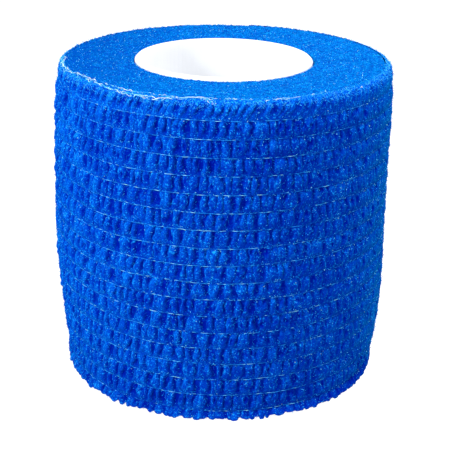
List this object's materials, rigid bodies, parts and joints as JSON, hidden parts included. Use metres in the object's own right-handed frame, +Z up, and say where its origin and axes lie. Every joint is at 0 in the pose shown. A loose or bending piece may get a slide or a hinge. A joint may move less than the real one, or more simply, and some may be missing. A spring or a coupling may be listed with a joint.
{
  "type": "cohesive bandage roll",
  "caption": "Roll of crinkled, self-adherent cohesive bandage wound on a hollow plastic core, standing on its end face.",
  "frame": {"origin": "centre of the core on the surface that the roll stands on", "axes": "+Z up along the core; -Y is the side that shows in the usual view, and the strip's cut end lies at the back, towards +Y"},
  "size_m": [0.0547, 0.0545, 0.05],
  "materials": {
    "core_plastic": "smooth white moulded tube, semi-matt",
    "bandage_cloth": "bright blue crinkled nonwoven, gathered between rows of fine elastic thread, with fibre fuzz",
    "elastic_thread": "pale fine elastic thread, matt"
  },
  "bodies": {
    "root": {"core": "core_plastic", "bandage": "bandage_cloth"}
  },
  "joints": []
}
